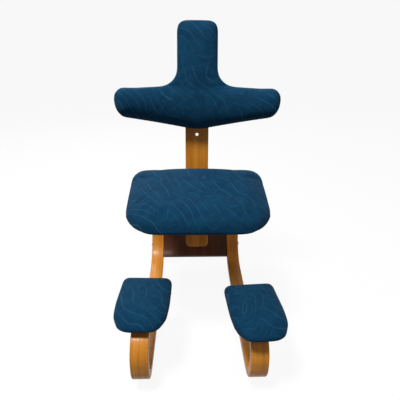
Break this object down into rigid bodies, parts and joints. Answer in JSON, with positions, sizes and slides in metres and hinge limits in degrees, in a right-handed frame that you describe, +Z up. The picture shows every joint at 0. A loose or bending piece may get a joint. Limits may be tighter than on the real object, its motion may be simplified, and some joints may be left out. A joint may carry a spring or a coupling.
{
  "type": "kneeling chair",
  "caption": "Rocking kneeling chair: bentwood runners, a tilted seat, sliding swivel knee pads and a T-shaped backrest that slides on a bent post.",
  "frame": {"origin": "on the floor under the middle of the chair's box", "axes": "+Z up, +Y to the rear of the chair, +X to the right as seen from in front of it"},
  "size_m": [0.54, 0.7932, 1.058],
  "materials": {
    "lacquered_beech": "satin",
    "beech_panel": "satin",
    "raw_plywood": "matte",
    "blue_upholstery": "matte",
    "black_plastic": "matte",
    "zinc_steel": "satin"
  },
  "bodies": {
    "frame": {"left_runner": "lacquered_beech", "right_runner": "lacquered_beech", "left_floor_glide": "black_plastic", "right_floor_glide": "black_plastic", "cross_panel": "beech_panel", "panel_bolts": "zinc_steel", "panel_barrel_nuts": "zinc_steel", "post_rail": "beech_panel", "rail_bolts": "zinc_steel", "rail_barrel_nuts": "zinc_steel", "rail_dowels": "raw_plywood", "back_post": "lacquered_beech", "post_bolts": "zinc_steel", "post_nuts": "zinc_steel", "seat_board": "raw_plywood", "seat_cushion": "blue_upholstery", "seat_bolts": "zinc_steel", "seat_tee_nuts": "zinc_steel", "back_bolt": "zinc_steel", "back_washer": "zinc_steel"},
    "backrest": {"backrest_cushion": "blue_upholstery", "backrest_shell": "raw_plywood", "backrest_cover": "blue_upholstery", "backrest_channel": "zinc_steel", "channel_screws": "zinc_steel"},
    "back_knob": {"back_knob": "black_plastic"},
    "left_knee_carriage": {"left_knee_saddle": "black_plastic", "left_knee_washer": "zinc_steel"},
    "left_knee_pad": {"left_knee_board": "raw_plywood", "left_knee_cushion": "blue_upholstery", "left_knee_bolt": "zinc_steel"},
    "left_knee_knob": {"left_knee_knob": "black_plastic"},
    "right_knee_carriage": {"right_knee_saddle": "black_plastic", "right_knee_washer": "zinc_steel"},
    "right_knee_pad": {"right_knee_board": "raw_plywood", "right_knee_cushion": "blue_upholstery", "right_knee_bolt": "zinc_steel"},
    "right_knee_knob": {"right_knee_knob": "black_plastic"}
  },
  "joints": [
    {"name": "backrest_height", "type": "slide", "parent": "frame", "child": "backrest", "axis": [0, 0.1392, 0.9903], "range_m": [-0.04, 0.04]},
    {"name": "back_knob_turn", "type": "hinge", "parent": "frame", "child": "back_knob", "pos_m": [0, 0.17233, 0.78723], "axis": [0, -0.9903, 0.1392], "continuous": true},
    {"name": "left_knee_slide", "type": "slide", "parent": "frame", "child": "left_knee_carriage", "axis": [0, 0.9998, -0.0175], "range_m": [-0.066, 0.022]},
    {"name": "left_knee_swivel", "type": "hinge", "parent": "left_knee_carriage", "child": "left_knee_pad", "pos_m": [-0.18, -0.20413, 0.20066], "axis": [0, 0.0175, 0.9998], "range_deg": [-10, 10]},
    {"name": "left_knee_knob_turn", "type": "hinge", "parent": "left_knee_pad", "child": "left_knee_knob", "pos_m": [-0.18, -0.20413, 0.20066], "axis": [0, 0.0175, 0.9998], "continuous": true},
    {"name": "right_knee_slide", "type": "slide", "parent": "frame", "child": "right_knee_carriage", "axis": [0, 0.9998, -0.0175], "range_m": [-0.023, 0.065]},
    {"name": "right_knee_swivel", "type": "hinge", "parent": "right_knee_carriage", "child": "right_knee_pad", "pos_m": [0.18, -0.24712, 0.20141], "axis": [0, 0.0175, 0.9998], "range_deg": [-10, 10]},
    {"name": "right_knee_knob_turn", "type": "hinge", "parent": "right_knee_pad", "child": "right_knee_knob", "pos_m": [0.18, -0.24712, 0.20141], "axis": [0, 0.0175, 0.9998], "continuous": true}
  ]
}
